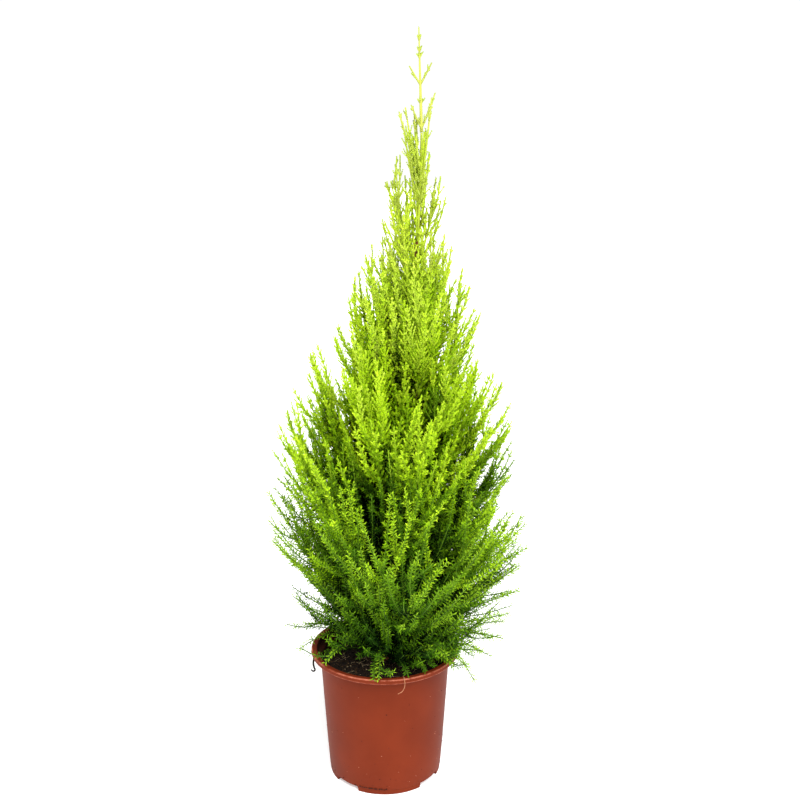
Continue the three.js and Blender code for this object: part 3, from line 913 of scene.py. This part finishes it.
def spikes(shoots, thick):
    """The finest twigs: closed three-sided points, as tubes gives them."""
    count = len(shoots)
    spokes = spokes_round(shoots.tangent(np.arange(count), np.zeros(count)), 3)
    feet = shoots.root[:, None, :] + spokes * thick[:, None, None]
    corners = np.concatenate([feet, shoots.tip[:, None, :]], axis=1).reshape(-1, 3)
    return corners, copies(SPIKE, count, 4), np.repeat(shoots.plume, 4), np.ones(count * 4)


# Foliage: needles and twigs as joined pieces, split by tier and by size
SLOTS = {"skirt": "leaf_lower", "lower": "leaf_lower", "middle": "leaf_middle", "upper": "leaf_upper"}


def chunks(plume_of_triangle):
    """Plumes in groups of one tier, each group's triangles within a piece's limit."""
    counts = np.bincount(plume_of_triangle, minlength=len(plumes))
    groups = []
    for index, plume in enumerate(plumes):
        same = groups and groups[-1][0] == plume.tier
        if not same or counts[groups[-1][1]].sum() + counts[index] > TRIANGLES_PER_PIECE:
            groups.append((plume.tier, []))
        groups[-1][1].append(index)
    return groups


def make_foliage(kind, materials, stands_for, corners, triangles, plume, deal):
    """Pieces of one kind. The needles are shaded flat."""
    for number, (tier, members) in enumerate(chunks(plume)):
        keep = np.isin(plume, members)
        used, faces = np.unique(triangles[keep], return_inverse=True)
        names = [plumes[index].name for index in members if stands_for]
        nodes = [f"foliage_{name}" for name in names if name]
        mesh = corners[used], faces.reshape(-1, 3), deal[keep], kind != "needles"
        dress(mesh_piece(f"{kind}_{tier}_{number + 1}", materials, *mesh), SLOTS[tier], *nodes)


leaves = [
    new_material(f"leaf_{row}_{tone + 1}", colour, LEAF_ROUGHNESS, LEAF_SHEEN)
    for row, colours in LEAF_COLOURS.items()
    for tone, colour in enumerate(colours)
]
needle_sets = [
    needles_on(axes.picked(slice(0, -1)), 0.3, 1.0, 0.5),
    needles_on(axes.picked(slice(-1, None)), 0.84, 1.0, 0.5),
    needles_on(spires, 0.08, 1.0, 0.5),
    needles_on(shoots, 0.05, 1.0, 0.3),
]
make_foliage("needles", leaves, True, *joined(needle_sets))

# Twig colours: woody limbs below a height, and greens that change at four heights, darker low down as
# painted shade and paler higher up as painted light
WOODY_BELOW = 400
WOODY_SHARE = 0.45
TWIG_HEIGHTS = (205, 310, 480, 600)
TWIG_SHEEN = 0.1
STOUT_TWIGS = (390, 540)
TWIG_COATS = (  # name, colour and roughness
    ("wood", (74, 56, 26), 0.7), ("dark", (62, 94, 20), 0.6), ("green", (94, 130, 28), 0.6),
    ("lime", (150, 180, 40), 0.6), ("bright", (170, 188, 56), 0.6), ("pale", (186, 190, 84), 0.6),
)
twig_coats = [new_material(f"twig_{name}", *coat, TWIG_SHEEN) for name, *coat in TWIG_COATS]
spire_high, shoot_high = (smooth(*STOUT_TWIGS, twigs.tip[:, 2]) for twigs in (spires, shoots))
stem_sets = [
    tubes(axes, 6, 14, 1.5, 0.5),
    tubes(spires, 3, 5, mix(0.9, 1.1, spire_high), mix(0.45, 0.7, spire_high)),
    spikes(shoots, mix(0.6, 0.95, shoot_high)),
]
stem_corners, stem_triangles, stem_plume, stem_share = joined(stem_sets)
stem_height = stem_corners[stem_triangles].mean(axis=1)[:, 2]
woody = len(stem_sets[0][1])
# The greens by height: darker low down as painted shade, paler higher up as painted light
stem_deal = 1 + np.searchsorted(TWIG_HEIGHTS, stem_height)
stem_deal[:woody] *= (stem_share[:woody] > WOODY_SHARE) | (stem_height[:woody] > WOODY_BELOW)
make_foliage("twigs", twig_coats, False, stem_corners, stem_triangles, stem_plume, stem_deal)

# Trunk and boughs with the bark's relief. A wave of noise is given as how close together and how high
BARK_WAVES = ((1.6, 1), (4, 0.5))
BARK_ROUND = 2.2
BARK_ALONG = 0.09
YOUNG_STEM_HEIGHT = 540
PALE_STEM_HEIGHT = 600
TRUNK_RINGS = 220
BOUGH_RINGS = 30


def bumps(spot, waves):
    return sum(height * noise.noise(spot * often) for often, height in waves)


def bark_tube(centre, tangent, radius, sides, relief):
    """A tube whose surface is lifted and cut by long fibrous strips."""
    rings = len(centre)
    spokes = spokes_round(tangent, sides)
    lift = np.zeros((rings, sides, 1))
    for ring in range(rings):
        for side in range(sides):
            spot = Vector(spokes[ring, side] * BARK_ROUND) + Vector((0, 0, ring * BARK_ALONG))
            lift[ring, side] = bumps(spot, BARK_WAVES)
    corners = centre[:, None] + spokes * radius[:, None, None] * (1 + relief * lift)
    corners = np.concatenate([corners.reshape(-1, 3), centre[:1], centre[-1:]])
    foot, top = rings * sides, rings * sides + 1
    last = (rings - 1) * sides
    step = np.arange(0, sides, 2)
    low = np.stack([np.full_like(step, foot), (step + 2) % sides, step + 1, step], -1)
    high = np.stack([np.full_like(step, top), last + step, last + step + 1, last + (step + 2) % sides], -1)
    return corners, np.concatenate([ring_walls(rings, sides).reshape(-1, 4), low, high])


def bough(index):
    """The woody first part of a plume's axis."""
    share = np.linspace(0, BOUGH_SHARE, BOUGH_RINGS)
    stem = np.full(BOUGH_RINGS, index)
    radius = grade(BOUGH_RADIUS, share / BOUGH_SHARE)
    return bark_tube(axes.point(stem, share), axes.tangent(stem, share), radius, 14, 0.1)


bark = clouded("bark", ((84, 50, 26), (156, 100, 56)), 0.85, 0.3, (900, 900, 90), 5)
trunk_height = mix(TRUNK_FOOT, TRUNK_TIP_HEIGHT, np.linspace(0, 1, TRUNK_RINGS) ** 1.2)
trunk_line = crown_centre(trunk_height)
trunk_corners, trunk_faces = bark_tube(
    trunk_line, unit(np.gradient(trunk_line, axis=0)), trunk_radius(trunk_height), 28, 0.09)
trunk_middle = trunk_corners[trunk_faces].mean(axis=1)[:, 2]
trunk_middle += random.normal(0, 14, len(trunk_faces))
# The young top takes the twigs' two highest greens, which carry their painted light
trunk_deal = (trunk_middle > YOUNG_STEM_HEIGHT).astype(int) + (trunk_middle > PALE_STEM_HEIGHT)
trunk = mesh_piece("bark_trunk", [bark] + twig_coats[-2:], trunk_corners, trunk_faces, trunk_deal)
dress(trunk, "bark", "trunk")
boughed = [index for index, plume in enumerate(plumes) if plume.boughed]
boughs = mesh_piece("bark_boughs", [bark], *joined([bough(index) for index in boughed]))
dress(boughs, "bark", *(f"bough_{plumes[index].name}" for index in boughed))

# Pot
POT_SIDES = 160
DRAIN_SIDES = 24
CRISP_ANGLE = 32


def arc(middle, radius, start, end, steps):
    """Points on a circle in the outline's plane, angles in degrees from outward."""
    angles = np.radians(np.linspace(start, end, steps))
    return [(middle[0] + radius * math.cos(a), middle[1] + radius * math.sin(a)) for a in angles]


def wall_outside(height):
    return float(mix(FOOT_RADIUS, SHOULDER_RADIUS, height / COLLAR_BOTTOM))


def pot_outline():
    """Radius and height round the pot's wall, from the axis below to the axis inside."""
    inside = COLLAR_RADIUS - WALL
    channel_top = CHANNEL_DEPTH + FLOOR_THICKNESS
    rim_low = POT_HEIGHT - RIM_DEPTH
    foot = FOOT_RADIUS - MOULD_STEP
    lip = 1.3
    edge = 0.7
    return [
        (0, 0), (PAD_RADIUS, 0), (CHANNEL_INNER, CHANNEL_DEPTH), (CHANNEL_OUTER, CHANNEL_DEPTH),
        (FOOT_INNER, 0),
        *arc((foot - edge, edge), edge, -90, 0, 5),
        (foot, FOOT_HEIGHT),
        *arc((foot, FOOT_HEIGHT + MOULD_STEP), MOULD_STEP, -90, 0, 5),
        *((wall_outside(height), height) for height in (30, 60, 90, COLLAR_BOTTOM - 3)),
        (SHOULDER_RADIUS, COLLAR_BOTTOM - 0.6), (SHOULDER_RADIUS + 0.5, COLLAR_BOTTOM),
        *arc((COLLAR_RADIUS - 1.2, COLLAR_BOTTOM + COLLAR_SLOPE + 0.4), 1.2, -70, 0, 5),
        (COLLAR_RADIUS + RIM_DRAFT, rim_low),
        *arc((RIM_RADIUS - edge, rim_low + edge), edge, -90, 0, 6),
        *arc((RIM_RADIUS - lip, POT_HEIGHT - lip), lip, 0, 90, 8),
        *arc((RIM_RADIUS - RIM_WIDTH + edge, POT_HEIGHT - edge), edge, 90, 180, 5),
        (inside, rim_low), (inside, COLLAR_BOTTOM + COLLAR_SLOPE + WALL),
        (SHOULDER_RADIUS - WALL, COLLAR_BOTTOM), (FOOT_RADIUS - WALL, WALL_FOOT),
        (CHANNEL_OUTER + 1, channel_top), (CHANNEL_INNER - 1, channel_top),
        (PAD_RADIUS - 1, FLOOR_THICKNESS), (0, FLOOR_THICKNESS),
    ]


def lathed(outline, sides):
    """A closed round mesh about the Z axis from an outline that starts and ends on the axis."""
    rings = [around_axis(radius, turns(sides), height) for radius, height in outline[1:-1]]
    corners = np.concatenate(rings + [[[0, 0, outline[0][1]], [0, 0, outline[-1][1]]]])
    side = np.arange(sides)
    after = (side + 1) % sides
    first, last = len(corners) - 2, len(corners) - 1
    top = (len(rings) - 1) * sides
    low = np.stack([np.full(sides, first), after, side], -1)
    high = np.stack([np.full(sides, last), side + top, after + top], -1)
    return corners, np.concatenate([halved(ring_walls(len(rings), sides)), low, high])


def cutter(low, high, azimuth):
    """A closed convex prism between two loops of corners, turned about the pot's axis."""
    angle = math.radians(azimuth)
    x, y, z = np.concatenate([low, high]).T
    corners = [x * math.cos(angle) - y * math.sin(angle), x * math.sin(angle) + y * math.cos(angle), z]
    return np.stack(corners, -1), tube_faces(2, len(low))


def notch_cutter(azimuth):
    half = FOOT_RADIUS * math.sin(math.radians(NOTCH_ANGLE / 2))
    shape = [(-half, -1), (half, -1), (half - NOTCH_DRAFT, NOTCH_HEIGHT), (NOTCH_DRAFT - half, NOTCH_HEIGHT)]
    near, far = (np.array([(out, y, z) for y, z in shape]) for out in (FOOT_INNER - 2, FOOT_RADIUS + 4))
    return cutter(near, far, azimuth)


def drain_cutter(azimuth):
    middle = ((CHANNEL_INNER + CHANNEL_OUTER) / 2, 0, 0)
    low, high = (around_axis(DRAIN_RADIUS, turns(DRAIN_SIDES), z) + middle for z in (-1, CHANNEL_DEPTH * 2))
    return cutter(low, high, azimuth)


def cut_out(piece, cutters):
    """Takes closed cutters out of a piece and keeps the edges of the cut crisp."""
    knife = mesh_piece("cutters", [], *joined(cutters))
    change = piece.modifiers.new("cut", "BOOLEAN")
    change.operation = "DIFFERENCE"
    change.solver = "EXACT"
    change.object = knife
    whole = piece.data
    graph = bpy.context.evaluated_depsgraph_get()
    piece.data = bpy.data.meshes.new_from_object(piece.evaluated_get(graph))
    piece.modifiers.clear()
    piece.data.set_sharp_from_angle(angle=math.radians(CRISP_ANGLE))
    bpy.data.objects.remove(knife)
    bpy.data.meshes.remove(whole)


def pot_coat_of_face(corners, faces):
    """The coat of each face of the pot: plain, at the rim's edges wear with a painted highlight, or darker
    on the inner wall.
    """
    first, second, third = (corners[faces[:, k]] for k in range(3))
    middle = corners[faces].mean(axis=1)
    height = middle[:, 2]
    from_axis = np.hypot(middle[:, 0], middle[:, 1])
    # Lighter lines at the rim's top and lower edges: wear with a painted highlight
    top_edge = (height > POT_HEIGHT - 0.9) & (from_axis > RIM_RADIUS - 1.3)
    low_edge = (height < POT_HEIGHT - RIM_DEPTH + 0.9) & (from_axis > RIM_RADIUS - 0.7)
    facing = np.cross(second - first, third - first)
    # The inner wall's faces above the foot and below the rim take the darker coat
    inner_wall = (facing[:, :2] * middle[:, :2]).sum(axis=1) < 0
    inner_wall &= (height > WALL_FOOT) & (height < POT_HEIGHT - 1.5)
    return (top_edge | low_edge) + 2 * inner_wall


pot_coats = [
    clouded("pot_plastic", ((101, 35, 13), (111, 40, 16)), 0.55, 0.08, (26, 26, 26)),
    # Wear with a painted highlight, for the rim's edges
    clouded("pot_worn_and_highlit", ((118, 46, 24), (190, 112, 88)), 0.6, 0.1, (160, 160, 160)),
    # Darker, for the inner wall
    clouded("pot_inner_dark", ((34, 18, 10), (66, 28, 14)), 0.85, 0.1, (90, 90, 90)),
]
pot_mesh = lathed(pot_outline(), POT_SIDES)
pot = mesh_piece("pot_shell", pot_coats, *pot_mesh, pot_coat_of_face(*pot_mesh))
cut_out(pot, [notch_cutter(azimuth) for azimuth in NOTCH_AZIMUTHS]
        + [drain_cutter(azimuth + 45) for azimuth in NOTCH_AZIMUTHS])
dress(pot, "pot_plastic", "pot")

# Soil: an uneven surface with crumbs and fibres of peat
SOIL_EDGE = wall_outside(SOIL_HEIGHT - SOIL_FALL) - WALL - SEAT
SOIL_SIDES = 180
SOIL_RINGS = 62
SOIL_WAVES = ((0.1, 1.3), (0.4, 0.9), (1.1, 0.45))
PEAT_BITS = ((18, 12, 8), (40, 28, 18), (74, 54, 34), (146, 128, 98))
CRUMBS = 2400
CRUMB_SHARES = (0.42, 0.38, 0.17, 0.03)
FIBRES = 170
LUMP = np.array([(0, 1, 2), (1, 3, 2), (3, 4, 2), (4, 0, 2), (1, 0, 5), (3, 1, 5), (4, 3, 5), (0, 4, 5)])


def soil_level(x, y):
    from_axis = math.hypot(x, y)
    level = SOIL_HEIGHT - SOIL_FALL * from_axis / SOIL_EDGE
    rough = smooth(SOIL_FLAT_RADIUS - 5, SOIL_FLAT_RADIUS, from_axis)
    rough = rough * smooth(SOIL_EDGE, SOIL_EDGE - 2, from_axis)
    return level + float(rough) * bumps(Vector((x, y, 7)), SOIL_WAVES)


def soil_outline():
    floor = FLOOR_THICKNESS + SEAT
    return [
        (0, floor), (PAD_RADIUS - 2, floor), (CHANNEL_OUTER, CHANNEL_DEPTH + FLOOR_THICKNESS + SEAT),
        (FOOT_RADIUS - WALL - SEAT, WALL_FOOT + SEAT), (SOIL_EDGE, SOIL_HEIGHT - SOIL_FALL),
        *((float(r), SOIL_HEIGHT) for r in np.linspace(SOIL_EDGE - 0.8, 0, SOIL_RINGS)),
    ]


def on_soil(count, edge):
    """Random places on the soil."""
    out = edge * np.sqrt(random.uniform(0.03, 1, count))
    spots = around_axis(out, random.uniform(0, 2 * math.pi, count), 0)
    spots[:, 2] = [soil_level(x, y) for x, y, _ in spots]
    return spots


def lumps(spots, radius):
    """Stretched and turned eight-sided lumps."""
    count = len(spots)
    axes_of = np.linalg.qr(random.normal(size=(count, 3, 3)))[0] * random.uniform(0.5, 1.3, (count, 3, 1))
    points = np.concatenate([axes_of, -axes_of], axis=1) * radius[:, None, None]
    return (spots[:, None, :] + points).reshape(-1, 3), copies(LUMP, count, 6)


def crumbs():
    """Lumps on the soil, with a colour for each triangle."""
    corners, faces = lumps(on_soil(CRUMBS, SOIL_EDGE - 1.5), random.gamma(3, 0.22, CRUMBS) + 0.25)
    colour = random.choice(len(PEAT_BITS), CRUMBS, p=CRUMB_SHARES)
    return corners, faces, np.repeat(colour, len(LUMP))


def fibres():
    """Thin bent threads lying on the soil."""
    middle = on_soil(FIBRES, SOIL_EDGE - 9)
    middle[:, 2] += random.uniform(0.3, 1.2, FIBRES)
    turn = random.uniform(0, 2 * math.pi, FIBRES)
    half = around_axis(1, turn, random.uniform(-0.12, 0.12, FIBRES))
    half *= random.uniform(2, 6, FIBRES)[:, None]
    bend = middle + random.normal(0, 1.6, (FIBRES, 3)) * (1, 1, 0.3)
    none = np.zeros(FIBRES, int)
    threads = Shoots(middle - half, bend, middle + half, none, none, none)
    corners, faces = tubes(threads, 3, 5, 0.26, 0.14)[:2]
    colour = random.choice((2, 2, 3), FIBRES)
    return corners, faces, np.repeat(colour, len(faces) // FIBRES)


soil_corners, soil_faces = lathed(soil_outline(), SOIL_SIDES)
for spot in soil_corners:
    if spot[2] > SOIL_HEIGHT - SOIL_FALL + 0.1:
        spot[2] = soil_level(spot[0], spot[1])
peat = clouded("peat", ((16, 11, 7), (40, 28, 18)), 0.95, 0.2, (300, 300, 300))
dress(mesh_piece("peat_surface", [peat], soil_corners, soil_faces), "peat", "soil")
bit_coats = [new_material(f"peat_bit_{k + 1}", colour, 0.95, 0.2) for k, colour in enumerate(PEAT_BITS)]
dress(mesh_piece("peat_bits", bit_coats, *joined([crumbs(), fibres()]), smooth_shaded=False), "peat")

# Traces on the pot: specks and a line of dirt on the wall, a root over the rim and a dry stalk under it
SPECKS = 150
DIRT_LINE = 60
DIRT_AZIMUTHS = (-122, -84)
DIRT_HEIGHT = 6.2
HANGING_ROOT = (
    (17, -60, 124), (17.5, -64, 126), (18.5, -70, 126), (19, -71.4, 121), (17, -71, 115), (12.5, -70, 112),
)
DRY_STALK = (
    (-65.5, -19, 121), (-67, -20, 118), (-66.5, -20, 112),
    (-65, -19, 109), (-67, -20, 107.5), (-69, -21, 110),
)


def rounded(points):
    """A line through points with its corners cut."""
    line = np.array(points, float)
    for _ in range(3):
        cut = np.stack([mix(line[:-1], line[1:], 0.25), mix(line[:-1], line[1:], 0.75)], axis=1)
        line = np.concatenate([line[:1], cut.reshape(-1, 3), line[-1:]])
    return line


def thread(points, thick, thin):
    line = rounded(points)
    return bark_tube(line, unit(np.gradient(line, axis=0)), np.linspace(thick, thin, len(line)), 6, 0.1)


def specks():
    """Small lumps on the outside of the wall, with a colour for each triangle."""
    free_turn = random.uniform(-math.pi, math.pi, SPECKS)
    turn = np.concatenate([free_turn, np.radians(random.uniform(*DIRT_AZIMUTHS, DIRT_LINE))])
    free_height = 8 + 100 * random.random(SPECKS) ** 1.8
    height = np.concatenate([free_height, random.normal(DIRT_HEIGHT, 0.3, DIRT_LINE)])
    out = mix(FOOT_RADIUS, SHOULDER_RADIUS, height / COLLAR_BOTTOM)
    corners, faces = lumps(around_axis(out, turn, height), random.uniform(0.25, 0.65, len(turn)))
    colour = np.concatenate([random.choice(2, SPECKS, p=(0.55, 0.45)), np.zeros(DIRT_LINE, int)])
    return corners, faces, np.repeat(colour, len(LUMP))


dark_dirt = new_material("dark_dirt", (26, 14, 9), 0.9, 0.2)
pale_dust = new_material("pale_dust", (176, 112, 88), 0.9, 0.2)
dress(mesh_piece("pot_specks", [dark_dirt, pale_dust], *specks(), smooth_shaded=False), "peat")
root_hair = clouded("root_hair", ((150, 96, 66), (190, 134, 100)), 0.8, 0.2, (400, 400, 400))
dress(mesh_piece("hanging_root", [root_hair], *thread(HANGING_ROOT, 0.42, 0.25)), "bark")
dress(mesh_piece("dry_stalk", [dark_dirt], *thread(DRY_STALK, 1.1, 0.6)), "bark")

# Stage, light and camera
FLOOR_REACH = 60000
FLOOR_GLOW = 0.25
WHITE = (1, 1, 1, 1)
AMBIENT = 0.45
BACKDROP = 1.05
# Name, azimuth from the front, elevation, width of the soft source in degrees, and strength
SUNS = (("key", 25, 50, 50, 4.4), ("fill", -50, 42, 80, 1.3))
CAMERA_PLACE = (0.0144, -0.882, 0.560)  # metres
CAMERA_DOWN = 12.5
CAMERA_LENS = 45
SENSOR_WIDTH = 36

floor_white = new_material("floor_white", (250, 250, 250), 0.9, 0.1)
tune(floor_white.node_tree.nodes[SHADER], Emission_Color=WHITE, Emission_Strength=FLOOR_GLOW)
floor_corners = np.array([(-1, -1, 0), (1, -1, 0), (1, 1, 0), (-1, 1, 0)]) * FLOOR_REACH
floor = mesh_piece("floor", [floor_white], floor_corners, [[0, 1, 2, 3]])

# Soft light from all round, a backdrop that only the camera sees, and the suns
world = bpy.data.worlds.new("studio")
world.use_nodes = True
bpy.context.scene.world = world
nodes, links = world.node_tree.nodes, world.node_tree.links
ambient, backdrop = nodes["Background"], nodes.new("ShaderNodeBackground")
tune(ambient, Color=WHITE, Strength=AMBIENT)
tune(backdrop, Color=WHITE, Strength=BACKDROP)
path = nodes.new("ShaderNodeLightPath")
either = nodes.new("ShaderNodeMixShader")
links.new(path.outputs["Is Camera Ray"], either.inputs["Fac"])
links.new(ambient.outputs["Background"], either.inputs[1])
links.new(backdrop.outputs["Background"], either.inputs[2])
links.new(either.outputs["Shader"], nodes["World Output"].inputs["Surface"])
for name, azimuth, elevation, angle, strength in SUNS:
    sun = bpy.data.lights.new(name, "SUN")
    sun.angle = math.radians(angle)
    sun.energy = strength
    in_scene(name, sun).rotation_euler = (math.radians(90 - elevation), 0, math.radians(azimuth))

camera = bpy.data.cameras.new("camera")
camera.lens = CAMERA_LENS
camera.sensor_width = SENSOR_WIDTH
eye = in_scene("camera", camera)
eye.location = CAMERA_PLACE
eye.rotation_euler = (math.radians(90 - CAMERA_DOWN), 0, 0)
bpy.context.scene.camera = eye
bpy.context.scene.view_settings.view_transform = "Standard"

bpy.context.view_layer.update()
